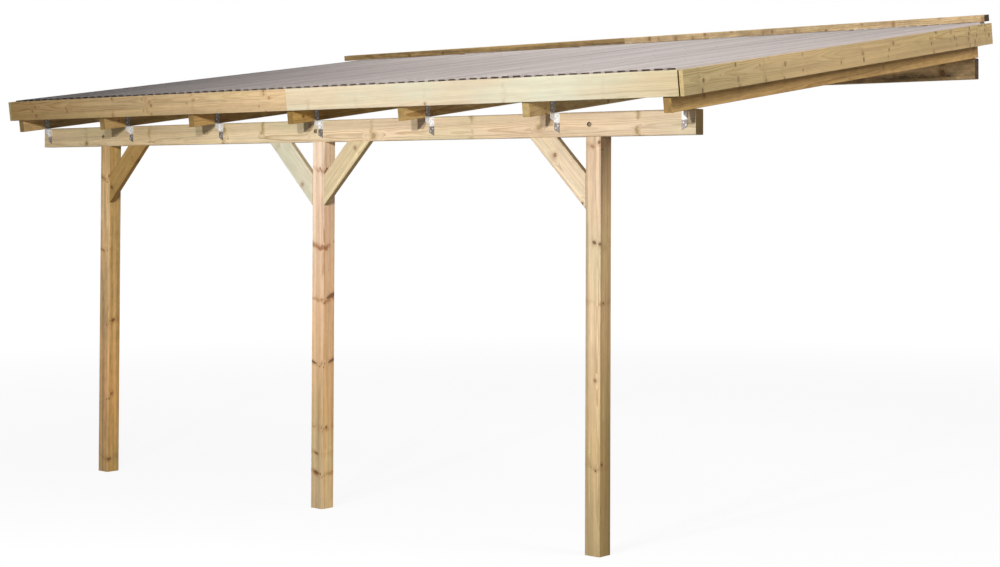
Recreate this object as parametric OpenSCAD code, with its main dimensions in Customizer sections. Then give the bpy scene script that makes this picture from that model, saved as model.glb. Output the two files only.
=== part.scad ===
// Lean-to timber pergola: three half-lapped posts and knee braces carry a front
// beam, seven rafters run from the beam up to a wall ledger, and laths on the
// rafters carry corrugated sheets behind boarded edges.
// Origin: middle of the ledger's wall face. +X runs along the wall, +Y points
// into the wall, +Z is up. All sizes are in millimetres.

/* [Overall] */
// Clear height under the front beam
clear_height = 2016; // [1600:1:2600]
// Distance from the wall face to the beam's front face
reach = 2870; // [2000:10:3600]
// Slope of the roof, in degrees
roof_pitch = 7.86; // [5:0.01:14]

/* [Front beam] */
// Length of the beam, and of the ledger
beam_length = 5040; // [4200:10:6200]
// Thickness of the beam, front to back
beam_thick = 60; // [45:1:75]
// Depth of the beam
beam_depth = 120; // [100:5:200]

/* [Posts] */
// Side of the square posts
post_size = 90; // [80:1:120]
// From the beam's left end to the left post
left_inset = 590; // [400:5:800]
// From the right post to the beam's right end
right_inset = 550; // [400:5:800]

/* [Knee braces] */
// Width of a brace
brace_width = 120; // [80:1:140]
// Thickness of a brace
brace_thick = 35; // [30:1:50]
// How far a brace reaches along the beam
brace_run = 350; // [300:5:500]
// How far a brace reaches down the post
brace_drop = 350; // [300:5:500]

/* [Rafters] */
// Number of rafters
rafter_count = 7; // [5:1:9]
// Thickness of a rafter
rafter_thick = 45; // [38:1:60]
// Depth of a rafter
rafter_depth = 145; // [120:5:200]
// How far a rafter stands out in front of the beam, along the slope
rafter_overhang = 193; // [120:1:300]

/* [Ledger] */
// Thickness of the ledger on the wall
ledger_thick = 45; // [38:1:60]
// Depth of the ledger
ledger_depth = 120; // [100:5:200]

/* [Laths] */
// Number of laths across the rafters
lath_count = 6; // [4:1:7]
// Width of a lath, along the slope
lath_width = 40; // [30:1:60]
// Height of a lath
lath_height = 38; // [30:1:60]

/* [Edge boards] */
// Thickness of the front and side boards
board_thick = 22; // [18:1:34]
// Depth of the front and side boards
board_depth = 120; // [100:5:145]
// How far the front and side boards stand above the laths
board_rise = 12; // [0:1:20]
// How far the left side board stands outside the first rafter
left_offset = 63; // [50:1:150]
// How far the right side board stands outside the last rafter
right_offset = 89; // [50:1:150]
// Gap between the front board and a side board
corner_gap = 8; // [2:1:15]

/* [Roof sheets] */
// Number of corrugated sheets
sheet_count = 5; // [4:1:7]
// Length of one wave
wave_pitch = 70; // [66:1:95]
// Height of a wave
wave_height = 18; // [12:1:24]
// Width of the flat top of a wave
crest_flat = 44; // [20:1:50]
// Width of the flat valley between two waves
valley_flat = 8; // [6:1:16]
// Thickness of a sheet
sheet_thick = 1.2; // [1:0.1:2]

/* [Wall batten] */
// Depth of the batten, along the slope
batten_width = 60; // [40:1:80]
// Height of the batten
batten_height = 38; // [30:1:60]
// How far the batten runs past the left side board
batten_past = 27; // [0:1:60]
// Distance of the joint in the batten from the middle
batten_joint = 36; // [-300:1:300]

/* [Fixings] */
// Width of an anchor strap
strap_width = 33; // [25:1:40]
// Thickness of an anchor strap
strap_thick = 2; // [1.5:0.1:3]
// Length of an anchor below the beam's top
strap_down = 99; // [90:1:115]
// Length of an anchor above the beam's top
strap_up = 91; // [80:1:110]
// Diameter of the nail holes in an anchor
nail_hole_d = 5; // [4:0.5:6]
// Diameter of the bolt in each post head
bolt_d = 10; // [8:1:12]
// Clearance of the bolt in its hole
bolt_clear = 1; // [0.5:0.1:2]
// Distance of the bolt from the post's left side
bolt_inset = 22; // [20:1:45]
// Diameter of the recess for the bolt head
recess_d = 26; // [24:1:30]
// Depth of the recess for the bolt head
recess_depth = 12; // [10:1:20]

/* [Hidden] */
POSTS = ["left", "middle", "right"];
post_count = len(POSTS);

// Names of n like pieces, counted from 1.
function numbered(name, n) = [for (i = [1 : n]) str(name, i)];

post_ease = 4;      // chamfer on the posts' long edges
timber_ease = 3;    // chamfer on the beam, the braces, rafters and ledger
board_ease = 2;     // chamfer on the laths, edge boards and batten
seat_gap = 0.2;     // between a timber and the arris that it rests on
wall_gap = 2;       // between the roof timbers' back ends and the wall
lap_gap = 0.3;      // between two sheets where they lap
butt_gap = 1;       // between the two lengths of a board or batten
edge_gap = 5;       // least gap between the sheets and a side board
past = 1;           // how far a cut runs past the face it opens
nail_step = 12;     // height from one nail hole to the next
nail_edge = 8;      // from a nail hole to the end of the strap

beam_top = clear_height + beam_depth;
beam_left = -beam_length / 2;
front_y = -reach;

// The rafters' undersides lie in one sloping plane, which rests on the front
// arris of the beam and on the front arris of the ledger.
slope_y = front_y + timber_ease;
slope_z = beam_top + seat_gap;
ledger_arris_y = -ledger_thick + timber_ease;
ledger_top = slope_z + (ledger_arris_y - slope_y) * tan(roof_pitch) - seat_gap;
ground_z = -(ledger_top - ledger_depth / 2);

// Distance up the slope at which a square-cut end of height w above the
// rafters' undersides comes up to the wall gap.
function slope_at_wall(w) =
    (-slope_y - wall_gap + w * sin(roof_pitch)) / cos(roof_pitch);

rafter_front = -rafter_overhang;
rafter_pitch = (beam_length - rafter_thick) / (rafter_count - 1);
function rafter_x(i) = beam_left + i * rafter_pitch;

lath_front = rafter_front;
lath_back = slope_at_wall(rafter_depth) - lath_width;
lath_pitch = (lath_back - lath_front) / (lath_count - 1);

board_front = rafter_front - board_thick;
board_top = rafter_depth + lath_height + board_rise;
board_foot = board_top - board_depth;
left_x = -beam_length / 2 - left_offset;
right_x = beam_length / 2 + right_offset;
inner_left = left_x + board_thick;
inner_right = right_x - board_thick;

// The sheets fill the width between the side boards in whole waves. Each one
// laps the next by a wave, and the last takes the waves that are left.
roof_waves = floor((inner_right - inner_left - 2 * edge_gap) / wave_pitch);
roof_left = (inner_left + inner_right - roof_waves * wave_pitch) / 2;
cover_waves = ceil((roof_waves - 1) / sheet_count);
sheet_cover = cover_waves * wave_pitch;
flank_run = (wave_pitch - crest_flat - valley_flat) / 2;
flank_angle = atan(wave_height / flank_run);
sheet_lift = (sheet_thick + lap_gap) / cos(flank_angle);
sheet_low = rafter_depth + lath_height + seat_gap;
sheet_front = rafter_front + seat_gap;
sheet_back = slope_at_wall(sheet_low);

batten_low = sheet_low + wave_height + sheet_thick
    + sheet_lift * (cover_waves + 1) / cover_waves + lap_gap;
batten_back = slope_at_wall(batten_low);

post_pitch = (beam_length - left_inset - right_inset - post_size)
    / (post_count - 1);
function post_x(i) = beam_left + left_inset + i * post_pitch;
lap_back = front_y + beam_thick;
bolt_z = clear_height + beam_depth / 2;

brace_angle = atan(brace_drop / brace_run);

// Common proportions of a hexagon bolt, its nut and its washers
nut_af = 1.7 * bolt_d;
nut_h = 0.8 * bolt_d;
head_h = 0.64 * bolt_d;
washer_d = recess_d - 2;
washer_t = 2;
bolt_end = 4;       // thread standing out of the nut

TIMBER = "burlywood";
BOARD = "wheat";
SHEET = "rosybrown";
STEEL = "silver";

// ---------------------------------------------------------------- helpers

// Heights inside are measured from the ground.
module from_ground() {
    translate([0, 0, ground_z]) children();
}

// Inside, Y runs up the slope from the beam's front arris and Z stands square
// to the roof, from the rafters' undersides.
module on_slope() {
    from_ground()
        translate([0, slope_y, slope_z])
            rotate([roof_pitch, 0, 0])
                children();
}

// Rectangle with chamfered corners, one corner at the origin.
module eased_section(w, h, e) {
    polygon([[e, 0], [w - e, 0], [w, e], [w, h - e],
             [w - e, h], [e, h], [0, h - e], [0, e]]);
}

// Timber of length l along X, with its low corner at the origin.
module timber_x(l, dy, dz, e) {
    rotate([90, 0, 90])
        linear_extrude(height = l)
            eased_section(dy, dz, e);
}

// Timber of length l along Y, with its low corner at the origin.
module timber_y(l, dx, dz, e) {
    translate([0, l, 0])
        rotate([90, 0, 0])
            linear_extrude(height = l)
                eased_section(dx, dz, e);
}

// ---------------------------------------------------------------- pieces

// Square post. Its head is half-lapped: the front is cut back to a shoulder
// for the beam, and the tongue behind it rises to the beam's top.
module post(i) {
    color(TIMBER)
        from_ground()
            translate([post_x(i), front_y, 0])
                difference() {
                    linear_extrude(height = beam_top)
                        eased_section(post_size, post_size, post_ease);
                    translate([-past, -past, clear_height])
                        cube([post_size + 2 * past, beam_thick + past,
                              beam_depth + past]);
                    translate([bolt_inset, 0, bolt_z])
                        rotate([-90, 0, 0])
                            cylinder(h = post_size + past,
                                     d = bolt_d + bolt_clear, $fn = 48);
                }
}

// Front beam, bored and recessed for one bolt at each post.
module front_beam() {
    color(TIMBER)
        from_ground()
            difference() {
                translate([beam_left, front_y, clear_height])
                    timber_x(beam_length, beam_thick, beam_depth, timber_ease);
                for (i = [0 : post_count - 1])
                    translate([post_x(i) + bolt_inset, front_y, bolt_z])
                        rotate([-90, 0, 0]) {
                            translate([0, 0, -past])
                                cylinder(h = beam_thick + 2 * past,
                                         d = bolt_d + bolt_clear, $fn = 48);
                            translate([0, 0, -past])
                                cylinder(h = recess_depth + past,
                                         d = recess_d, $fn = 64);
                        }
            }
}

// Bolt through the beam and the post's tongue, with its washers and nut.
module post_bolt(i) {
    grip = post_size - recess_depth;
    color(STEEL)
        from_ground()
            translate([post_x(i) + bolt_inset, front_y + recess_depth, bolt_z])
                rotate([-90, 0, 0]) {
                    translate([0, 0, -washer_t])
                        cylinder(h = washer_t, d = washer_d, $fn = 48);
                    translate([0, 0, -washer_t - head_h])
                        cylinder(h = head_h, d = nut_af / cos(30), $fn = 6);
                    translate([0, 0, -washer_t])
                        cylinder(h = grip + 2 * washer_t + nut_h + bolt_end,
                                 d = bolt_d, $fn = 48);
                    translate([0, 0, grip])
                        cylinder(h = washer_t, d = washer_d, $fn = 48);
                    translate([0, 0, grip + washer_t])
                        cylinder(h = nut_h, d = nut_af / cos(30), $fn = 6);
                }
}

// Knee brace, flush with the front of its post and cut to the post and to the
// beam's underside. side is 1 to the right of the post and -1 to the left.
module brace(i, side) {
    bar = brace_run + brace_drop + brace_width;
    color(TIMBER)
        from_ground()
            translate([post_x(i) + (side > 0 ? post_size : 0), front_y,
                       clear_height])
                mirror([side > 0 ? 0 : 1, 0, 0])
                    intersection() {
                        translate([0, 0, -bar])
                            cube([bar, brace_thick, bar]);
                        translate([0, 0, -brace_drop])
                            rotate([0, -brace_angle, 0])
                                translate([-bar / 2, 0, 0])
                                    timber_x(2 * bar, brace_thick,
                                             brace_width, timber_ease);
                    }
}

// Rafter, square-cut at both ends.
module rafter(i) {
    l = slope_at_wall(0) - rafter_front;
    color(TIMBER)
        on_slope()
            translate([rafter_x(i), rafter_front, 0])
                timber_y(l, rafter_thick, rafter_depth, timber_ease);
}

// Ledger, the timber on the wall under the rafters' back ends.
module wall_ledger() {
    color(TIMBER)
        from_ground()
            translate([beam_left, -ledger_thick, ledger_top - ledger_depth])
                timber_x(beam_length, ledger_thick, ledger_depth, timber_ease);
}

// Staggered nail holes from y = low to y = high, in a strap between x = 0 and
// x = strap_width.
module nail_holes(low, high) {
    rows = floor((high - low) / nail_step);
    for (k = [0 : rows])
        translate([strap_width * (k % 2 == 0 ? 0.28 : 0.72),
                   low + k * nail_step])
            circle(d = nail_hole_d, $fn = 24);
}

// Twisted strap that ties a rafter to the beam: one leg up the rafter's side,
// one down the beam's front, joined at a fold in the corner between them.
// It sits on the rafter's right side, and on the last rafter's left side.
module anchor(i) {
    last = i == rafter_count - 1;
    slant = strap_width / 2;
    fold = 44;      // height over which the two legs are joined
    color(STEEL)
        from_ground()
            translate([rafter_x(i) + (last ? 0 : rafter_thick), front_y,
                       beam_top])
                mirror([last ? 1 : 0, 0, 0]) {
                    rotate([90, 0, -90])
                        translate([0, 0, -strap_thick])
                            linear_extrude(height = strap_thick)
                                difference() {
                                    polygon([[0, -fold], [0, strap_up - slant],
                                             [strap_width, strap_up],
                                             [strap_width, -fold + slant]]);
                                    nail_holes(nail_step, strap_up - slant);
                                }
                    rotate([90, 0, 0])
                        linear_extrude(height = strap_thick)
                            difference() {
                                polygon([[0, 0], [strap_width, 0],
                                         [strap_width, -strap_down],
                                         [0, -strap_down + slant]]);
                                nail_holes(nail_edge - strap_down + slant,
                                           -nail_edge);
                            }
                }
}

// Lath across the rafters, between the two side boards.
module lath(i) {
    color(BOARD)
        on_slope()
            translate([inner_left, lath_front + i * lath_pitch, rafter_depth])
                timber_x(inner_right - inner_left, lath_width, lath_height,
                         board_ease);
}

// Half of the front board, nailed to the rafters' front ends. The two halves
// meet on the middle rafter.
module front_board(side) {
    from_x = side > 0 ? butt_gap / 2 : inner_left + corner_gap;
    to_x = side > 0 ? inner_right - corner_gap : -butt_gap / 2;
    color(BOARD)
        on_slope()
            translate([from_x, board_front, board_foot])
                timber_x(to_x - from_x, board_thick, board_depth, board_ease);
}

// Side board, nailed to the laths' ends.
module side_board(side) {
    l = slope_at_wall(board_foot) - board_front;
    color(BOARD)
        on_slope()
            translate([side > 0 ? inner_right : left_x, board_front,
                       board_foot])
                timber_y(l, board_thick, board_depth, board_ease);
}

// Corners of one side of a sheet over n waves. Each wave is a trapezium that
// starts and ends in the middle of a valley. t is the height above the
// underside, and the ramp lifts the right edge over the next sheet's left one.
function wave_line(n, t) =
    let (mitre = t * tan(flank_angle / 2),
         foot = valley_flat / 2 - mitre,
         head = valley_flat / 2 + flank_run - mitre,
         corners = [[foot, 0], [head, wave_height],
                    [wave_pitch - head, wave_height], [wave_pitch - foot, 0]],
         ramp = sheet_lift / sheet_cover)
    concat([[0, t]],
           [for (k = [0 : n - 1], c = corners)
                let (s = k * wave_pitch + c[0]) [s, c[1] + t + ramp * s]],
           [[n * wave_pitch, t + ramp * n * wave_pitch]]);

// Corrugated sheet, waves running up the slope.
module roof_sheet(i) {
    waves = min(cover_waves + 1, roof_waves - i * cover_waves);
    low = wave_line(waves, 0);
    high = wave_line(waves, sheet_thick);
    last = len(low) - 1;
    color(SHEET)
        on_slope()
            translate([roof_left + i * sheet_cover, sheet_back, sheet_low])
                rotate([90, 0, 0])
                    linear_extrude(height = sheet_back - sheet_front)
                        polygon([for (k = [0 : 2 * last + 1])
                                     k <= last ? low[k]
                                               : high[2 * last + 1 - k]]);
}

// Batten that closes the sheets at the wall, in two lengths. It stops at the
// right side board's inner face.
module wall_batten(side) {
    from_x = side > 0 ? batten_joint + butt_gap / 2 : left_x - batten_past;
    to_x = side > 0 ? inner_right : batten_joint - butt_gap / 2;
    color(BOARD)
        on_slope()
            translate([from_x, batten_back - batten_width, batten_low])
                timber_x(to_x - from_x, batten_width, batten_height,
                         board_ease);
}

// ---------------------------------------------------------------- assembly

for (i = [0 : post_count - 1]) {
    post(i);
    post_bolt(i);
}
front_beam();
brace(0, 1);  // brace_left
brace(1, -1);  // brace_middle_left
brace(1, 1);  // brace_middle_right
brace(2, -1);  // brace_right
for (i = [0 : rafter_count - 1]) {
    rafter(i);
    anchor(i);
}
wall_ledger();
for (i = [0 : lath_count - 1])
    lath(i);
front_board(-1);  // front_board_left
front_board(1);  // front_board_right
side_board(-1);  // side_board_left
side_board(1);  // side_board_right
for (i = [0 : sheet_count - 1])
    roof_sheet(i);
wall_batten(-1);  // wall_batten_left
wall_batten(1);  // wall_batten_right
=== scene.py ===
"""Looks of a lean-to timber pergola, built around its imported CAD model."""

import math

import bpy
import numpy as np
from mathutils import Matrix, Vector


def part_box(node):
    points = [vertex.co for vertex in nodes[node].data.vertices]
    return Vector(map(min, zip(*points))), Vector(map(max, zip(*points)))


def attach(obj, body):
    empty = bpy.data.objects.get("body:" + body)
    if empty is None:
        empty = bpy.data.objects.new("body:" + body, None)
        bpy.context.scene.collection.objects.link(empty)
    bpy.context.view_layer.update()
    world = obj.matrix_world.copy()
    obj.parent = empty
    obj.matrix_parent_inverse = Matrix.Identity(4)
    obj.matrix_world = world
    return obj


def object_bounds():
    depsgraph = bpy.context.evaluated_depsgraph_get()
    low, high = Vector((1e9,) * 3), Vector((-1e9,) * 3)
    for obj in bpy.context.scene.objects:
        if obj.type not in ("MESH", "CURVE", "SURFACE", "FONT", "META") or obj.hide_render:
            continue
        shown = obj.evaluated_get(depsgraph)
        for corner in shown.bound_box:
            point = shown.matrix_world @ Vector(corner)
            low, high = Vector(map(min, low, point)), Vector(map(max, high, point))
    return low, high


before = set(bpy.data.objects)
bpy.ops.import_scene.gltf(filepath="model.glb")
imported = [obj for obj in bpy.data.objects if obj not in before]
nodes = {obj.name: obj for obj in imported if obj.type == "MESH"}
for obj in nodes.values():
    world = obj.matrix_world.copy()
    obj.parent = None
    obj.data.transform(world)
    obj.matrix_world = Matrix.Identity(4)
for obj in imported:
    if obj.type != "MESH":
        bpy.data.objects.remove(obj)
cad_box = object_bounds()
scene = bpy.context.scene

MM = 0.001
ROOF_PITCH = math.radians(7.86)

# directions: along the wall, away from the front, up, and the roof's slope
X_AXIS, Y_AXIS, Z_AXIS = np.eye(3)
UP_SLOPE = np.array([0, math.cos(ROOF_PITCH), math.sin(ROOF_PITCH)])
OFF_SLOPE = np.array([0, -math.sin(ROOF_PITCH), math.cos(ROOF_PITCH)])


def dress(name, made):
    """Gives a CAD node one material."""
    node = nodes[name]
    node.data.materials.clear()
    node.data.materials.append(made)


# ------------------------------------------------------------ shader graphs


class Wire:
    """A socket of a shader tree. Arithmetic on it adds Math nodes."""

    def __init__(self, graph, socket):
        self.graph = graph
        self.socket = socket

    def math(self, operation, *others):
        values = dict(enumerate((self,) + others))
        return self.graph.node("Math", {"operation": operation},
                               values)["Value"]

    def __add__(self, other):
        return self.math("ADD", other)

    def __sub__(self, other):
        return self.math("SUBTRACT", other)

    def __rsub__(self, other):
        return self.math("MULTIPLY_ADD", -1, other)

    def __mul__(self, other):
        return self.math("MULTIPLY", other)

    def __truediv__(self, other):
        return self.math("DIVIDE", other)

    def __pow__(self, other):
        return self.math("POWER", other)

    def __abs__(self):
        return self.math("ABSOLUTE")

    __radd__ = __add__
    __rmul__ = __mul__

    def fraction(self):
        return self.math("FRACT")

    def floor(self):
        return self.math("FLOOR")

    def step(self, low, high, start=0.0, end=1.0):
        """Smooth step from start at low to end at high."""
        return self.graph.node(
            "MapRange", {"interpolation_type": "SMOOTHSTEP"},
            {"Value": self, "From Min": low, "From Max": high,
             "To Min": start, "To Max": end})["Result"]


class Graph:
    """Shader tree of a material or of the world."""

    def __init__(self, tree):
        self.tree = tree
        tree.nodes.clear()

    def node(self, kind, settings=None, sockets=None):
        """Adds a node and returns its outputs by name. Its settings, such as
        an operation or a ramp's stops, come first, then the values or links
        of its sockets, by name or by number."""
        made = self.tree.nodes.new("ShaderNode" + kind)
        for name, value in (settings or {}).items():
            if name == "stops":
                fill_ramp(made.color_ramp, value)
            else:
                setattr(made, name, value)
        shown = [s for s in made.inputs if s.enabled]
        for name, value in (sockets or {}).items():
            socket = (shown[name] if isinstance(name, int)
                      else next(s for s in shown if s.name == name))
            if isinstance(value, Wire):
                self.tree.links.new(value.socket, socket)
            elif socket.type == "RGBA":
                socket.default_value = (*value, 1.0)
            else:
                socket.default_value = value
        return {s.name: Wire(self, s) for s in made.outputs if s.enabled}

    def blend(self, factor, a, b, how="MIX"):
        """Colour a brought towards colour b by a factor."""
        return self.node("Mix", {"data_type": "RGBA", "blend_type": how},
                         {"Factor": factor, "A": a, "B": b})["Result"]

    def scaled(self, colour, factor):
        """Colour made lighter or darker by a factor."""
        return self.node("VectorMath", {"operation": "SCALE"},
                         {"Vector": colour, "Scale": factor})["Vector"]

    def vector(self, x, y, z):
        return self.node("CombineXYZ", {}, {"X": x, "Y": y, "Z": z})["Vector"]

    def noise(self, at, scale=1.0, detail=2.0, roughness=0.5):
        """Cloudy noise from 0 to 1."""
        return self.node("TexNoise", {}, {"Vector": at, "Scale": scale,
                                          "Detail": detail,
                                          "Roughness": roughness})["Fac"]

    def dice(self, at):
        """Random numbers from 0 to 1, three for each place."""
        split = self.node("SeparateColor", {}, {"Color": self.node(
            "TexWhiteNoise", {"noise_dimensions": "3D"},
            {"Vector": at})["Color"]})
        return split["Red"], split["Green"], split["Blue"]


def fill_ramp(ramp, stops):
    """Puts stops (place, value) into a ramp. Greys hold up to the next stop,
    and colours run into each other."""
    grey = isinstance(stops[0][1], float)
    ramp.interpolation = "CONSTANT" if grey else "LINEAR"
    ramp.elements.remove(ramp.elements[-1])
    for place, value in stops:
        first = place == stops[0][0]
        stop = ramp.elements[0] if first else ramp.elements.new(place)
        stop.color = (value,) * 3 + (1.0,) if grey else (*value, 1.0)


def new_material(name, graph=Graph, *about):
    """A material and the graph in it, with what that kind of graph takes."""
    made = bpy.data.materials.new(name)
    made.use_nodes = True
    return made, graph(made.node_tree, *about)


def finish_material(graph, principled, height, depth):
    """Ends a graph in a Principled shader, with a bump of a depth in metres
    from a height that runs from 0 to 1."""
    bump = graph.node("Bump", {}, {"Strength": 1.0, "Distance": depth,
                                   "Height": height})
    shader = graph.node("BsdfPrincipled", {},
                        {**principled, "Normal": bump["Normal"]})["BSDF"]
    graph.node("OutputMaterial", {}, {"Surface": shader})


# ------------------------------------------------------------------- timber

RING = 3.4 * MM             # width of a growth ring
RING_WAVER = 5 * MM         # how far a ring strays from round
PITH_WANDER = 10 * MM       # how far the pith strays along a piece
KNOT_GROWN = 60 * MM        # distance from the pith where a knot is full grown
COLLAR_HALF = 14 * MM       # half the height of the dark band at a whorl
COLLAR_RAGGED = 60 * MM     # how ragged that band is
COLLAR_LIFT = 6 * MM        # how far it pushes the rings out
WHORL_GAP = 0.42            # usual distance between two whorls
LEAN = 0.006                # angle of the grain to the piece's edges
GRAIN_RELIEF = 0.5 * MM     # depth of the planed face's grain


class Finish:
    """Colours and character of one kind of timber."""

    def __init__(self, early, late, knot, tint, tint_share=0.3, streaks=0.4,
                 mottle=0.2, knot_size=11 * MM, knot_tilt=0.15, spike=1.0,
                 branches=5, scatter=40 * MM, collar=0.12, dead=0.6,
                 checks=0.3, tones=((1.0, 1.0, 1.0),) * 2,
                 edges=(1.0, 1.0, 1.0), ends=(0.55, 0.44, 0.28)):
        self.early = early              # pale wood of a growth ring
        self.late = late                # darker line that ends the ring
        self.knot = knot                # sound knots, dead ones are darker
        self.tint = tint                # colour of the stained patches
        self.tint_share = tint_share    # how far a patch takes that colour
        self.streaks = streaks          # strength of the streaks
        self.mottle = mottle            # strength of the small blotches
        self.knot_size = knot_size      # radius of a middling knot
        self.knot_tilt = knot_tilt      # how far a branch rises on its way out
        self.spike = spike              # how much wider than high a knot is
        self.branches = branches        # places for a branch in one whorl
        self.scatter = scatter          # how far its knots lie apart
        self.collar = collar            # dark band round the tree at a whorl
        self.dead = dead                # how dark its dead knots are
        self.checks = checks            # how much of it has drying cracks
        self.tones = tones              # from its low end to its high end
        self.edges = edges              # tone of its narrow faces, which is painted light and shade
        self.ends = ends                # tone of its end grain


def grain_frame(along, face):
    """Matrix whose columns are the grain's direction, the direction across it
    in the broad face, and the broad face's normal."""
    along = Vector(along).normalized()
    across = Vector(face).cross(along).normalized()
    return Matrix((along, across, along.cross(across))).transposed()


class Log(Graph):
    """Shader tree of a piece of timber, which knows where the piece lay in
    its tree. x runs along the grain from the piece's middle, r is the distance
    from the pith, and the angle round the pith is a share of a turn."""

    def __init__(self, tree, centre, turn, pith, seed):
        super().__init__(tree)
        self.seed = seed
        local = self.node("Mapping", {"vector_type": "TEXTURE"}, {
            "Vector": self.node("TexCoord")["Object"],
            "Location": Vector(centre) + turn @ Vector((0, *pith)),
            "Rotation": turn.to_euler()})["Vector"]
        # the seed moves each piece to a place of its own in the noise
        self.seeded = self.node("VectorMath", {"operation": "ADD"}, {
            0: local, 1: (3.7 * seed, 1.3 * seed, -2.1 * seed)})["Vector"]
        place = self.node("SeparateXYZ", {}, {"Vector": local})
        self.x = place["X"]
        wander = self.node("SeparateColor", {}, {"Color": self.node(
            "TexNoise", {"noise_dimensions": "1D"},
            {"W": self.x + 5.3 * seed, "Scale": 1.6, "Detail": 2.0})["Color"]})
        y = place["Y"] + (wander["Red"] - 0.5) * PITH_WANDER
        z = place["Z"] + (wander["Green"] - 0.5) * PITH_WANDER
        self.r = (y * y + z * z) ** 0.5
        self.angle = z.math("ARCTAN2", y) / math.tau

    def stretched(self, along_scale, cross_scale, detail=2.0, roughness=0.5):
        """Noise drawn out along the grain."""
        at = self.node("VectorMath", {"operation": "MULTIPLY"}, {
            0: self.seeded, 1: (along_scale, cross_scale, cross_scale)})
        return self.noise(at["Vector"], 1.0, detail, roughness)


class Knots:
    """Knots of a piece. The branches of a whorl share the turn round the pith
    in equal sectors. A knot is a cone from the pith: far is the distance from
    its middle line, measured along the grain and round the pith, over its
    radius there."""

    def __init__(self, g, finish, whorls, length):
        # the whorl that this stretch of the piece belongs to
        places = [0.0] + [(a + b) / 2 for a, b in zip(whorls, whorls[1:])]
        whorl = g.node("ValToRGB", {"stops": list(zip(places, whorls))},
                       {"Fac": g.x / length + 0.5})["Color"]
        self.whorl = g.node("SeparateColor", {}, {"Color": whorl})["Red"]

        # the sector in this direction, with each whorl turned by its own angle
        turned = (g.angle + self.whorl * 7.31 + 0.17 * g.seed
                  ) * finish.branches
        sector = (turned + 40 * finish.branches).floor().math(
            "MODULO", finish.branches)
        shift, size, there = g.dice(
            g.vector(sector, self.whorl * 91.7, g.seed * 1.0))

        round_it = turned.fraction() - 0.5 - (shift - 0.5) * 0.4
        arc = round_it * g.r * (math.tau / finish.branches / finish.spike)
        self.level = g.x - (self.whorl - 0.5) * length - g.r * finish.knot_tilt
        rise = self.level - (size - 0.5) * finish.scatter
        radius = (there.step(0.25, 0.35) * (size * 0.75 + 0.45)
                  * g.r.step(0.0, KNOT_GROWN, 0.35, 1.0) * finish.knot_size
                  ) + 0.2 * MM
        self.far = (rise * rise + arc * arc) ** 0.5 / radius

        # what is round a knot fades out before its sector ends
        self.window = abs(turned.fraction() - 0.5).step(0.5, 0.36)
        self.bulge = ((self.far * self.far * -0.1).math("EXPONENT")
                      * self.window * radius * 2.0)
        self.wood = self.far.step(1.05, 0.9)
        self.dead = there.step(0.5, 0.9) * finish.dead


def whorl_band(g, finish, knots):
    """Band of dark, curly wood at a whorl. Each whorl's has its strength."""
    rough = g.stretched(14, 18, 3.0, 0.6)
    strong = g.dice(g.vector(knots.whorl * 57.3, g.seed * 1.0, 0.0))[0]
    return (((knots.level + (rough - 0.5) * COLLAR_RAGGED) ** 2
             * (-1 / COLLAR_HALF ** 2)).math("EXPONENT") * strong
            * rough.step(0.4, 0.6) * (3 * finish.collar))


def late_wood(g, knots, collar):
    """Dark line that ends a growth ring. A ring's number is the distance from
    the pith, less the bulge round a knot, over the ring's width."""
    ring = (g.r + (g.stretched(3, 30) - 0.5) * RING_WAVER - knots.bulge
            - collar * COLLAR_LIFT) / RING
    phase = ring.fraction()
    shade = g.node("TexWhiteNoise", {"noise_dimensions": "1D"},
                   {"W": ring.floor() + g.seed})["Value"]
    return phase.step(0.35, 0.9) * phase.step(1.0, 0.93) * (shade * 0.7 + 0.3)


def drying_cracks(g, finish):
    """Fine cracks along the grain, in some stretches of the piece."""
    return (abs(g.stretched(1.1, 60, 1.0) - 0.5).step(0.007, 0.0)
            * g.stretched(1.5, 9, 0.0).step(0.72 - 0.3 * finish.checks, 0.74))


def wood_colour(g, finish, knots, collar, late, fibre, crack):
    """Growth rings with stained patches, streaks and blotches, and over them
    the whorls' bands, the knots and the cracks."""
    streak = g.stretched(0.9, 34, 3.0, 0.6)
    board = g.stretched(0.7, 12, 2.0)
    blotch = g.stretched(11, 28, 4.0, 0.7)
    patch = g.stretched(1.6, 7, 2.0)
    rim = knots.far.step(0.7, 0.95) * knots.far.step(1.35, 1.0)
    halo = knots.far.step(3.6, 1.0) * knots.window
    colour = g.blend(late, finish.early, finish.late)
    colour = g.blend(patch.step(0.45, 0.7) * finish.tint_share, colour,
                     finish.tint)
    colour = g.scaled(colour, 1 + ((streak - 0.5) * 2 + board - 0.5)
                      * finish.streaks + (fibre - 0.5) * 0.3
                      + (blotch - 0.5) * (2 * finish.mottle))
    colour = g.blend(halo * 0.35 + collar, colour, finish.knot)
    colour = g.blend(knots.wood * 0.85, colour,
                     g.scaled(finish.knot, 1 - knots.dead))
    return g.scaled(colour, (1 - rim * (knots.dead * 0.25 + 0.25))
                    * (1 - crack * 0.6))


def toned(g, colour, finish, length, across, along):
    """Tones along the piece, then the painted light and shade of its narrow
    faces and the tone of its end grain.
    """
    # the ramp holds the tones halved, because it ends at 1
    last = len(finish.tones) - 1
    tone = g.node("ValToRGB", {"stops": [
        (i / last, tuple(c / 2 for c in t))
        for i, t in enumerate(finish.tones)]},
        {"Fac": g.x / length + 0.5})["Color"]
    colour = g.scaled(g.blend(1.0, colour, tone, "MULTIPLY"), 2.0)
    for way, face_tone in ((across, finish.edges), (along, finish.ends)):
        square = abs(g.node("VectorMath", {"operation": "DOT_PRODUCT"}, {
            0: g.node("TexCoord")["Normal"],
            1: tuple(Vector(way).normalized())})["Value"]).step(0.8, 0.95)
        colour = g.blend(square, colour, face_tone, "MULTIPLY")
    return colour


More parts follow.
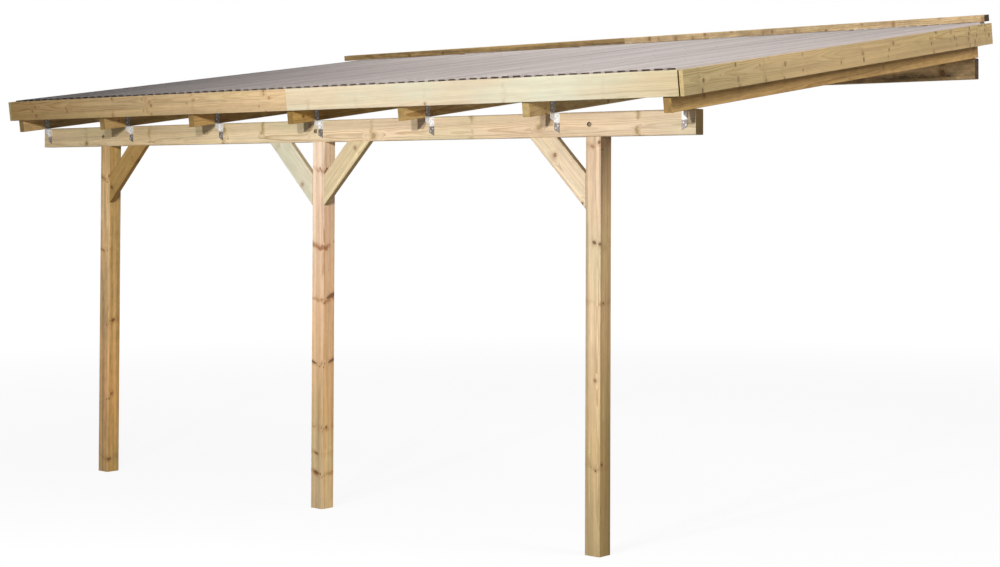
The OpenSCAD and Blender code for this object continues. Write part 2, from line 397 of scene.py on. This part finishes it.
def timber(name, finish, centre, length, along, face, pith, whorls, seed):
    """Softwood cut beside the pith of a tree. The pith's place is given from
    the piece's middle, across the broad face and out of it."""
    turn = (grain_frame(along, face) @ Matrix.Rotation(LEAN, 3, "Z")
            @ Matrix.Rotation(-LEAN, 3, "Y"))
    made, g = new_material(name, Log, centre, turn, pith, seed)
    knots = Knots(g, finish, whorls, length)
    collar = whorl_band(g, finish, knots)
    late = late_wood(g, knots, collar)
    fibre = g.stretched(7, 300, 3.0, 0.6)
    crack = drying_cracks(g, finish)
    colour = wood_colour(g, finish, knots, collar, late, fibre, crack)
    height = fibre * 0.35 + late * 0.25 + knots.wood * 0.2 - crack * 0.5 + 0.3
    finish_material(g, {
        "Base Color": toned(g, colour, finish, length, turn.col[1], along),
        "Roughness": 0.6 + fibre * 0.2 - knots.wood * 0.15,
        "Specular IOR Level": 0.35}, height, GRAIN_RELIEF)
    return made


def spaced(length, seed, gap):
    """Whorl places as shares of a length, about a gap apart at random."""
    count = max(2, round(length / gap))
    rng = np.random.default_rng(seed)
    return ((np.arange(count) + 0.5 + rng.uniform(-0.3, 0.3, count))
            / count).round(4).tolist()


def mill(name, finish, along, face, pith, seed, whorls=None, length=None,
         gap=WHORL_GAP):
    """Gives a CAD timber its own piece of wood. A length that isn't given is
    the longest diagonal of its box, measured along the grain. Whorls that
    aren't given lie about a gap apart."""
    low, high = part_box(name)
    span = high - low
    length = length or max(
        abs(Vector(along).dot(Vector((s * span.x, t * span.y, span.z))))
        for s in (1, -1) for t in (1, -1))
    dress(name, timber(name, finish, (low + high) / 2, length, along, face,
                       pith, whorls or spaced(length, seed, gap), seed))


def kind(early, **settings):
    """Finish whose late wood, knots and stains follow from its pale wood."""
    red, green, blue = early
    late = (red * 0.66, green * 0.55, blue * 0.42)
    knot = (red * 0.50, green * 0.34, blue * 0.22)
    tint = settings.pop("tint", (red * 0.82, green * 0.88, blue * 0.68))
    return Finish(early, settings.pop("late", late),
                  settings.pop("knot", knot), tint, **settings)


FRONT_RIGHT = kind((0.82, 0.70, 0.49), late=(0.68, 0.55, 0.33),
                   tint=(0.75, 0.745, 0.55), tint_share=0.8, streaks=0.2,
                   mottle=0.08, knot_size=6 * MM, branches=3, collar=0.08,
                   dead=0.2, checks=0.0,
                   tones=((1.02, 0.98, 0.96), (0.95, 0.93, 0.93),
                          (0.83, 0.79, 0.79), (0.83, 0.84, 0.87),
                          (0.76, 0.72, 0.62)))
FRONT_LEFT = kind((0.75, 0.56, 0.335), knot=(0.54, 0.31, 0.14),
                  streaks=0.5, knot_size=7 * MM, spike=1.2, branches=30,
                  scatter=100 * MM, collar=0.16, dead=0.35,
                  tones=((0.62, 0.53, 0.34), (0.88, 0.84, 0.74),
                         (1.10, 1.07, 1.04)))
SIDE = kind((0.62, 0.44, 0.22), knot=(0.28, 0.17, 0.07), streaks=0.35,
            mottle=0.12, knot_size=5.5 * MM, knot_tilt=0.05, spike=1.6,
            branches=17, scatter=100 * MM, dead=0.45, checks=0.4,
            tones=((0.92, 1.0, 0.96), (1.0, 1.0, 1.0), (0.86, 0.86, 0.82),
                   (1.0, 1.0, 1.0)), ends=(1.0, 1.0, 0.98))
BEAM = kind((0.79, 0.63, 0.42), knot=(0.42, 0.30, 0.13),
            tint=(0.62, 0.58, 0.34), tint_share=0.45, mottle=0.15,
            branches=6, collar=0.38, dead=0.4, checks=0.4,
            tones=((1.19, 1.17, 1.07), (1.16, 1.12, 0.98), (1.10, 1.12, 1.09),
                   (1.08, 1.06, 1.08), (0.91, 0.87, 0.86), (0.84, 0.83, 0.87)),
            ends=(0.19, 0.14, 0.04))
POST_LEFT = kind((0.88, 0.57, 0.27), tint=(0.64, 0.45, 0.21),
                 tint_share=0.8, streaks=0.8, mottle=0.45,
                 knot_size=14 * MM, knot_tilt=0.4, collar=0.2,
                 tones=((0.74, 0.74, 0.68), (0.97, 0.89, 0.86),
                        (0.97, 0.96, 0.97), (1.0, 1.04, 1.10),
                        (0.88, 0.88, 0.78)), edges=(1.03, 0.98, 0.75))
POST_MIDDLE = kind((0.83, 0.57, 0.35), tint=(0.72, 0.60, 0.36),
                   tint_share=0.4, streaks=0.6, knot_size=9 * MM,
                   knot_tilt=0.35, branches=11, scatter=30 * MM, collar=0.4,
                   dead=0.65,
                   tones=((0.90, 0.98, 0.92), (0.93, 0.89, 0.75),
                          (1.03, 1.0, 0.98), (1.14, 1.18, 1.38),
                          (1.19, 1.40, 1.75)), edges=(1.26, 1.18, 1.04))
POST_RIGHT = kind((0.74, 0.54, 0.34), tint=(0.60, 0.52, 0.30),
                  tint_share=0.4, streaks=0.7, knot_tilt=0.3, collar=0.15,
                  tones=((0.73, 0.74, 0.60), (0.86, 0.85, 0.71),
                         (1.02, 1.04, 1.03), (1.0, 1.04, 1.10),
                         (1.03, 1.03, 1.13)), edges=(0.82, 0.74, 0.56))
BRACE_LENGTH = 0.6          # of the bar that a brace is cut from
# painted shade on the braces' top and under faces
BRACE_PAINTED_SHADE = (0.62, 0.54, 0.40)
BRACES = {"left": kind((0.60, 0.37, 0.125), edges=BRACE_PAINTED_SHADE),
          "middle_left": kind((0.86, 0.79, 0.60), tint=(0.62, 0.68, 0.50),
                              streaks=0.2, edges=(0.85, 0.80, 0.68)),
          "middle_right": kind((0.82, 0.67, 0.42), knot_size=8 * MM,
                               edges=BRACE_PAINTED_SHADE),
          "right": kind((0.78, 0.63, 0.44), edges=(0.75, 0.68, 0.54))}
RAFTERS = [kind(early, streaks=0.5, mottle=0.45, knot_size=9 * MM, checks=0.5,
                tones=((0.92, 0.92, 0.92), (0.8, 0.8, 0.82),
                       (0.95, 0.95, 1.0)), ends=(0.47, 0.46, 0.40))
           for early in (
               (0.80, 0.54, 0.24), (0.82, 0.54, 0.215), (0.72, 0.45, 0.175),
               (0.66, 0.41, 0.13), (0.86, 0.58, 0.24), (0.98, 0.73, 0.36),
               (0.76, 0.47, 0.17))]
LEDGER = kind((0.76, 0.54, 0.28), tint=(0.26, 0.17, 0.08), tint_share=0.8,
              streaks=1.3, mottle=1.2, knot_size=14 * MM, branches=8,
              checks=0.8, ends=(0.10, 0.06, 0.02))
LATH = kind((0.62, 0.46, 0.25))
BATTEN_LEFT = kind((0.49, 0.33, 0.14), streaks=1.0, mottle=0.6,
                   knot_size=8 * MM, branches=9)
BATTEN_RIGHT = kind((0.76, 0.57, 0.32), knot=(0.48, 0.26, 0.11), streaks=0.7,
                    mottle=0.6, knot_size=8 * MM, spike=1.5, branches=9,
                    scatter=90 * MM, dead=0.4, ends=(0.04, 0.03, 0.01))
BATTEN_WHORL_GAP = 0.11     # the right batten has many knots

mill("front_board_left", FRONT_LEFT, X_AXIS, -UP_SLOPE, (0.03, -0.09), 11,
     [0.076, 0.21, 0.40, 0.526, 0.686, 0.925])
mill("front_board_right", FRONT_RIGHT, X_AXIS, -UP_SLOPE, (-0.06, -0.10), 12,
     [0.06, 0.20, 0.389, 0.596, 0.83])
mill("side_board_left", SIDE, UP_SLOPE, -X_AXIS, (0.02, -0.08), 13)
mill("side_board_right", SIDE, UP_SLOPE, X_AXIS, (0.02, -0.075), 14,
     [0.042, 0.135, 0.219, 0.271, 0.342, 0.455, 0.51, 0.612, 0.763, 0.832,
      0.862, 0.89, 0.918, 0.942, 0.97])
mill("front_beam", BEAM, X_AXIS, -Y_AXIS, (-0.03, -0.045), 15,
     [0.085, 0.209, 0.344, 0.412, 0.488, 0.583, 0.725, 0.814, 0.933])
mill("post_left", POST_LEFT, Z_AXIS, -Y_AXIS, (-0.03, 0.03), 16,
     [0.035, 0.214, 0.43, 0.642, 0.845])
mill("post_middle", POST_MIDDLE, Z_AXIS, -Y_AXIS, (-0.036, 0.034), 17,
     [0.085, 0.137, 0.203, 0.367, 0.532, 0.671, 0.866])
mill("post_right", POST_RIGHT, Z_AXIS, -Y_AXIS, (-0.03, 0.02), 18,
     [0.196, 0.386, 0.565, 0.693, 0.92])
mill("wall_ledger", LEDGER, X_AXIS, -Y_AXIS, (0.02, -0.06), 19)
mill("wall_batten_left", BATTEN_LEFT, X_AXIS, -Y_AXIS, (0.02, -0.04), 20)
mill("wall_batten_right", BATTEN_RIGHT, X_AXIS, -Y_AXIS, (-0.02, -0.05), 21,
     gap=BATTEN_WHORL_GAP)
for i, (name, side) in enumerate((("left", 1), ("middle_left", -1),
                                  ("middle_right", 1), ("right", -1))):
    mill("brace_" + name, BRACES[name], (side, 0, 1), -Y_AXIS,
         (0.03 - 0.02 * i, -0.06), 22 + i, length=BRACE_LENGTH)
for i in range(1, 8):
    mill(f"rafter_{i}", RAFTERS[i - 1], UP_SLOPE, X_AXIS,
         (0.04 - 0.015 * i, -0.05), 30 + i)
for i in range(1, 7):
    mill(f"lath_{i}", LATH, X_AXIS, OFF_SLOPE, (0.01 * i - 0.03, -0.05),
         40 + i)

# -------------------------------------------------------- steel and plastic


def on_slope(name):
    """Corners of a CAD node, along the wall, up the slope and square to it."""
    mesh = nodes[name].data
    at = np.empty(len(mesh.vertices) * 3, np.float32)
    mesh.vertices.foreach_get("co", at)
    return at.reshape(-1, 3) @ np.column_stack([X_AXIS, UP_SLOPE, OFF_SLOPE])


def slope_box(name):
    """Lowest and highest corner of a CAD node in the slope's directions."""
    at = on_slope(name)
    return at.min(0), at.max(0)


def from_slope(x, u, w):
    """Points from places along the wall, up the slope and off the slope."""
    x, u, w = np.broadcast_arrays(x, u, w)
    return (x[..., None] * X_AXIS + u[..., None] * UP_SLOPE
            + w[..., None] * OFF_SLOPE).reshape(-1, 3)


SPANGLES = 140.0            # crystals of zinc along a metre
ZINC_RELIEF = 0.15 * MM
LEFT_DARKENING = 2.0, -1.0       # where the steel starts to darken and is darkest


def steel(name, colour, rough, painted_highlight_zone=None):
    """Zinc-coated steel: soft spangle, a white bloom and fine scratches. A
    painted highlight, white between two heights, is laid over the bloom, and
    the steel is darker to the left."""
    made, g = new_material(name)
    at = g.node("TexCoord")["Object"]
    place = g.node("SeparateXYZ", {}, {"Vector": at})
    cells = g.node("TexVoronoi", {}, {"Vector": at, "Scale": SPANGLES})
    spangle = g.node("SeparateColor", {}, {"Color": cells["Color"]})["Red"]
    bloom = g.noise(at, 35.0, 3.0, 0.6)
    scratch = g.noise(g.node("VectorMath", {"operation": "MULTIPLY"},
                             {0: at, 1: (90, 90, 1500)})["Vector"], 1.0, 2.0)
    white = bloom.step(0.55, 0.8) * 0.4
    # painted highlight: white across the anchors' fold, standing in for the light caught
    # there
    if painted_highlight_zone:
        low, high = painted_highlight_zone
        z = place["Z"] + (bloom - 0.5) * (20 * MM)
        painted_highlight = z.step(low, low + 12 * MM) * z.step(high, high - 12 * MM)
        white = white + painted_highlight * (0.92 - spangle * 0.3)
    left = place["X"].step(*LEFT_DARKENING)
    colour = g.scaled(colour, 0.86 + spangle * 0.2 + (bloom - 0.5) * 0.3
                      - left * 0.3)
    colour = g.blend(white, colour, (1.0, 0.99, 0.96))
    finish_material(g, {
        "Base Color": colour, "Metallic": 1 - white,
        "Roughness": rough + (bloom - 0.5) * 0.3 + spangle * 0.08},
        spangle * 0.3 + scratch * 0.4, ZINC_RELIEF)
    return made


WAVE = 70 * MM              # from one crest of the roof sheets to the next
PLASTIC_RELIEF = 0.3 * MM
CLEAN, DUSTY = (0.46, 0.405, 0.385), (0.56, 0.51, 0.47)
PAINTED_LIGHT_FADE = -5.2, -0.9      # where the painted light on the roof starts and is full


def plastic(name, see_through=0.2, shade=1.0):
    """Smoke-tinted translucent plastic. Each wave has a tone of its own, with
    painted shade on its flanks. Pale dust lies in patches, and painted light
    makes the roof paler to the right and up the slope."""
    made, g = new_material(name)
    at = g.node("Mapping", {"vector_type": "TEXTURE"},
                {"Vector": g.node("TexCoord")["Object"],
                 "Rotation": (ROOF_PITCH, 0, 0)})["Vector"]

    def bands(*scales):
        return g.noise(g.node("VectorMath", {"operation": "MULTIPLY"},
                              {0: at, 1: scales})["Vector"], 1.0, 3.0, 0.6)

    place = g.node("SeparateXYZ", {}, {"Vector": at})
    wave = (place["X"] - slope_box("roof_sheet_1")[0][0]) / WAVE
    # painted shade on each wave's flanks
    painted_flank_shade = abs(wave.fraction() - 0.5).step(0.26, 0.38)
    own = g.dice(g.vector(wave.floor(), 3.0, 7.0))[0]
    ripple = bands(260, 1.2, 8)
    band = bands(28, 0.5, 4)
    dust = bands(7, 1.1, 9)
    colour = g.blend(dust.step(0.4, 0.75) * 0.4, CLEAN, DUSTY)
    # painted light: the roof paler to the right and up the slope
    painted_light = (place["X"] + place["Y"] * 0.8).step(*PAINTED_LIGHT_FADE)
    colour = g.scaled(colour, (0.30 + painted_light * 1.17) * shade
                      * (1 + (ripple - 0.5) * 0.16 + (band - 0.5) * 0.3
                         + (own - 0.5) * 0.24 - painted_flank_shade * 0.12))
    finish_material(g, {
        "Base Color": colour,
        "Alpha": 1 - see_through * (1.2 - dust * 0.4),
        "Roughness": 0.5 + dust * 0.2, "Specular IOR Level": 0.06},
        ripple * 0.5 + band * 0.5, PLASTIC_RELIEF)
    return made


BEAM_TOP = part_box("front_beam")[1].z
# the anchors' painted highlight lies between these two heights, at the fold over the
# beam's top
ZINC = steel("zinc_steel", (0.28, 0.25, 0.225), 0.42,
             (BEAM_TOP - 55 * MM, BEAM_TOP + 6 * MM))
NAIL_STEEL = steel("nail_steel", (0.70, 0.69, 0.70), 0.4)
BOLT = steel("bolt_steel", (0.27, 0.22, 0.15), 0.38)
SCREW_STEEL = steel("screw_steel", (0.42, 0.34, 0.18), 0.5)
SMOKE = plastic("roof_plastic")
# a darker copy of the roof plastic: painted shade, so that the caps, which face the lamps,
# are no lighter than the roof
CAP_PLASTIC = plastic("cap_plastic", 0.0, 0.84)
for name in nodes:
    for start, made in (("anchor", ZINC), ("post_bolt", BOLT),
                        ("roof_sheet", SMOKE)):
        if name.startswith(start):
            dress(name, made)

# --------------------------------------------------- nails, screws and caps


def make_heads(name, places, outward, profile, made):
    """Round heads joined in one piece. A head is the profile (radius, height)
    turned about its outward direction: a point at angle a on it is
    radius * (cos a, sin a) in its plane and height along outward. Its first
    and last rings are closed with flat caps."""
    sides = 8
    places = np.asarray(places, float)
    outward = np.broadcast_to(outward, places.shape)
    helper = np.where(np.abs(outward[:, 2:]) > 0.7, X_AXIS, Z_AXIS)
    across = np.cross(helper, outward)
    across /= np.linalg.norm(across, axis=1, keepdims=True)
    third = np.cross(outward, across)
    radius, height = np.asarray(profile, float).T * MM
    angle = np.arange(sides) * math.tau / sides
    flat = radius[:, None, None] * np.stack([np.cos(angle), np.sin(angle)], -1)
    rings = (places[:, None, None] + flat[..., :1] * across[:, None, None]
             + flat[..., 1:] * third[:, None, None]
             + height[:, None, None] * outward[:, None, None])
    ring, side = np.meshgrid(np.arange(len(radius) - 1), np.arange(sides),
                             indexing="ij")
    near, after = ring * sides + side, ring * sides + (side + 1) % sides
    quads = np.stack([near, after, after + sides, near + sides],
                     -1).reshape(-1, 4)
    last = (len(radius) - 1) * sides
    faces = []
    for start in np.arange(len(places)) * len(radius) * sides:
        faces += (quads + start).tolist()
        faces.append((np.arange(sides)[::-1] + start).tolist())
        faces.append((np.arange(sides) + start + last).tolist())
    mesh = bpy.data.meshes.new(name)
    mesh.from_pydata(rings.reshape(-1, 3).tolist(), [], faces)
    mesh.materials.append(made)
    piece = bpy.data.objects.new(name, mesh)
    scene.collection.objects.link(piece)
    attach(piece, "root")


# profiles from the foot to the middle of the head, in millimetres
NAIL = ((3.9, -0.2), (4.1, 0.7), (3.1, 1.4), (1.4, 1.7))
SCREW = ((4.2, -1.4), (4.3, -0.5), (3.2, -0.1), (2.0, -0.15), (1.5, -0.9))
CAP = ((8.5, -0.3), (8.5, 0.7), (6.5, 1.4), (5.2, 2.8), (3.0, 3.6),
       (1.0, 3.8))

# Nails sit in the anchors' holes. The holes are a step apart in height and
# lie by turns near one edge of the strap and near the other.
HOLE_STEP, HOLE_COUNT = 12 * MM, 6
FIRST_UP, FIRST_DOWN = 12 * MM, -74.5 * MM  # lowest holes, from the beam's top
HOLE_PLACES = 0.28, 0.72        # across the strap, as shares of its width
LEFT_OPEN = 2                   # hole of each leg that has no nail
STRAP = 2 * MM                  # thickness of an anchor


def anchor_nails(i):
    """Nail heads on both legs of one anchor, square to each leg."""
    low, high = map(np.array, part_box(f"anchor_{i}"))
    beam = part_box("front_beam")
    front, top = beam[0].y, beam[1].z
    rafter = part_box(f"rafter_{i}")
    right = (low[0] + high[0]) / 2 > (rafter[0].x + rafter[1].x) / 2
    side = 1.0 if right else -1.0
    face = rafter[1].x if right else rafter[0].x
    width = front - low[1]
    k = np.delete(np.arange(HOLE_COUNT), LEFT_OPEN)
    share = np.where(k % 2 == 0, *HOLE_PLACES)
    up = np.stack([np.full(len(k), face + side * STRAP), front - share * width,
                   top + FIRST_UP + k * HOLE_STEP], -1)
    down = np.stack([face + side * share * width,
                     np.full(len(k), front - STRAP),
                     top + FIRST_DOWN + k * HOLE_STEP], -1)
    outward = np.repeat([side * X_AXIS, -Y_AXIS], len(k), axis=0)
    make_heads(f"anchor_nails_{i}", np.concatenate([up, down]), outward, NAIL,
               NAIL_STEEL)


def middle_x(name):
    low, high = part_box(name)
    return (low.x + high.x) / 2


for i in range(1, 8):
    anchor_nails(i)

# front board: one screw low into each rafter and one above it into the lath
BOARD_SCREW_UP = 22 * MM        # from the board's lower edge
board_low = slope_box("front_board_left")[0]
lath_boxes = [slope_box(f"lath_{i}") for i in range(1, 7)]
lath_mid = (lath_boxes[0][0][2] + lath_boxes[0][1][2]) / 2
make_heads("front_board_screws", from_slope(
    np.array([middle_x(f"rafter_{i}") for i in range(1, 8)])[:, None],
    board_low[1], np.array([board_low[2] + BOARD_SCREW_UP, lath_mid])),
    -UP_SLOPE, SCREW, SCREW_STEEL)

# side boards: two screws into each lath's end, one diagonally over the other
SIDE_SCREWS_ALONG = np.array([-7, 7]) * MM
SIDE_SCREWS_UP = np.array([9, -9]) * MM
for name, side in (("left", -1), ("right", 1)):
    low, high = slope_box("side_board_" + name)
    u = np.array([(a[1] + b[1]) / 2 for a, b in lath_boxes])[:, None]
    make_heads(f"side_board_{name}_screws", from_slope(
        high[0] if side > 0 else low[0], u + SIDE_SCREWS_ALONG,
        lath_mid + SIDE_SCREWS_UP),
        side * X_AXIS, SCREW, SCREW_STEEL)

# wall batten: screws from end to end, about 0.7 m apart
BATTEN_SCREWS, BATTEN_SCREW_IN = 8, 60 * MM
low, high = slope_box("wall_batten_left")
batten_end = slope_box("wall_batten_right")[1][0]
make_heads("wall_batten_screws", from_slope(
    np.linspace(low[0] + BATTEN_SCREW_IN, batten_end - BATTEN_SCREW_IN,
                BATTEN_SCREWS), (low[1] + high[1]) / 2, high[2]),
    OFF_SLOPE, SCREW, SCREW_STEEL)

# roof sheets: capped screws on every third crest over each lath but the last,
# which lies under the wall batten
CAP_EVERY = 3
points = np.concatenate([on_slope(n) for n in sorted(nodes)
                         if n.startswith("roof_sheet")])
crests = np.arange(points[:, 0].min() + WAVE / 2, points[:, 0].max(),
                   WAVE)[1::CAP_EVERY]
near = np.abs(points[:, 0][None] - crests[:, None]) < WAVE / 3
crest_top = np.where(near, points[:, 2][None], -9.0).max(1)
make_heads("roof_caps", np.concatenate([
    from_slope(crests, (a[1] + b[1]) / 2, crest_top)
    for a, b in lath_boxes[:-1]]),
    OFF_SLOPE, CAP, CAP_PLASTIC)

# ------------------------------------------------------------------- camera
# The camera stands in front of the right post, a little above the middle of
# its height, and looks along the row of posts to the left.
CAMERA_AT = (7.3038, -9.8894, -0.7030)
CAMERA_TURN, CAMERA_PITCH, CAMERA_ROLL = map(math.radians,
                                             (42.18, 1.1745, 0.2563))
CAMERA_LENS = 65.79
CAMERA_SHIFT = (0.05787, -0.13256)


def make_camera():
    """Camera whose turn is measured from +Y to the left, its pitch up from
    level, and its roll about the line of sight."""
    turn, pitch = CAMERA_TURN, CAMERA_PITCH
    ahead = np.array([-math.sin(turn) * math.cos(pitch),
                      math.cos(turn) * math.cos(pitch), math.sin(pitch)])
    side = np.array([math.cos(turn), math.sin(turn), 0.0])
    up = np.cross(side, ahead)
    c, s = math.cos(CAMERA_ROLL), math.sin(CAMERA_ROLL)
    side, up = side * c + up * s, up * c - side * s
    data = bpy.data.cameras.new("camera")
    data.lens = CAMERA_LENS
    data.shift_x, data.shift_y = CAMERA_SHIFT
    data.clip_end = 500
    camera = bpy.data.objects.new("camera", data)
    turned = np.eye(4)
    turned[:3, :3] = np.column_stack([side, up, -ahead])
    turned[:3, 3] = CAMERA_AT
    camera.matrix_world = Matrix(turned.tolist())
    scene.collection.objects.link(camera)
    scene.camera = camera


make_camera()

# --------------------------------------------------------- lamps and ground


def make_lamp(name, at, target, size, power):
    """Square area lamp turned to face a target."""
    data = bpy.data.lights.new(name, "AREA")
    data.size = size
    data.energy = power
    lamp = bpy.data.objects.new(name, data)
    lamp.location = at
    aim = Vector(target) - Vector(at)
    lamp.rotation_euler = aim.to_track_quat("-Z", "Y").to_euler()
    scene.collection.objects.link(lamp)


# Two small lamps in front give the crisp double shadows of the rafters on
# the beam. A large one lights the right side, and one the back of the roof.
make_lamp("key_left", (1.95, -8.14, 0.66), (0.6, -2.87, -0.6), 0.12, 135)
make_lamp("key_right", (2.58, -6.99, 0.61), (0.6, -2.87, -0.6), 0.12, 98)
make_lamp("fill_right", (6.9, -1.4, 2.3), (1.5, -1.5, -0.3), 2.6, 186)
make_lamp("roof_back", (-1.0, 1.2, 2.2), (-1.0, -0.9, 0.1), 2.6, 62)

AMBIENT = 0.27              # strength of the even light
FLOOR_HALF = 60.0
FLOOR_FADE = 3, 14          # where the floor starts and ends turning white


def seen_directly(g):
    """1 for what the camera sees, also in a mirror or through plastic."""
    path = g.node("LightPath")
    return path["Is Camera Ray"].math("MAXIMUM", path["Is Glossy Ray"]).math(
        "MAXIMUM", path["Is Transmission Ray"])


def make_world():
    """White backdrop over a dim even light."""
    world = bpy.data.worlds.new("studio")
    world.use_nodes = True
    scene.world = world
    g = Graph(world.node_tree)
    seen = seen_directly(g)
    light = g.node("Background", {}, {
        "Color": (1, 1, 1), "Strength": seen * (1 - AMBIENT) + AMBIENT})
    g.node("OutputWorld", {}, {"Surface": light["Background"]})


def make_floor():
    """Wide pale floor that fades to the backdrop's white and keeps the
    object's shadow."""
    z = cad_box[0][2]
    corners = [(a * FLOOR_HALF, b * FLOOR_HALF, z)
               for a, b in ((-1, -1), (1, -1), (1, 1), (-1, 1))]
    mesh = bpy.data.meshes.new("floor")
    mesh.from_pydata(corners, [], [(0, 1, 2, 3)])
    floor = bpy.data.objects.new("floor", mesh)
    scene.collection.objects.link(floor)
    made, g = new_material("floor")
    at = g.node("TexCoord")["Object"]
    away = g.node("VectorMath", {"operation": "LENGTH"},
                  {"Vector": at})["Value"]
    glow = g.node("Emission", {}, {
        "Color": (1, 1, 1), "Strength": away.step(*FLOOR_FADE, 0.9, 1.0)})
    faint = g.node("BsdfDiffuse", {}, {"Color": (0.1, 0.1, 0.1)})
    pale = g.node("BsdfDiffuse", {}, {"Color": (0.3, 0.3, 0.3)})
    shown = g.node("AddShader", {}, {0: glow["Emission"], 1: faint["BSDF"]})
    both = g.node("MixShader", {}, {0: seen_directly(g), 1: pale["BSDF"],
                                    2: shown["Shader"]})
    g.node("OutputMaterial", {}, {"Surface": both["Shader"]})
    mesh.materials.append(made)


make_world()
make_floor()
scene.view_settings.view_transform = "Standard"
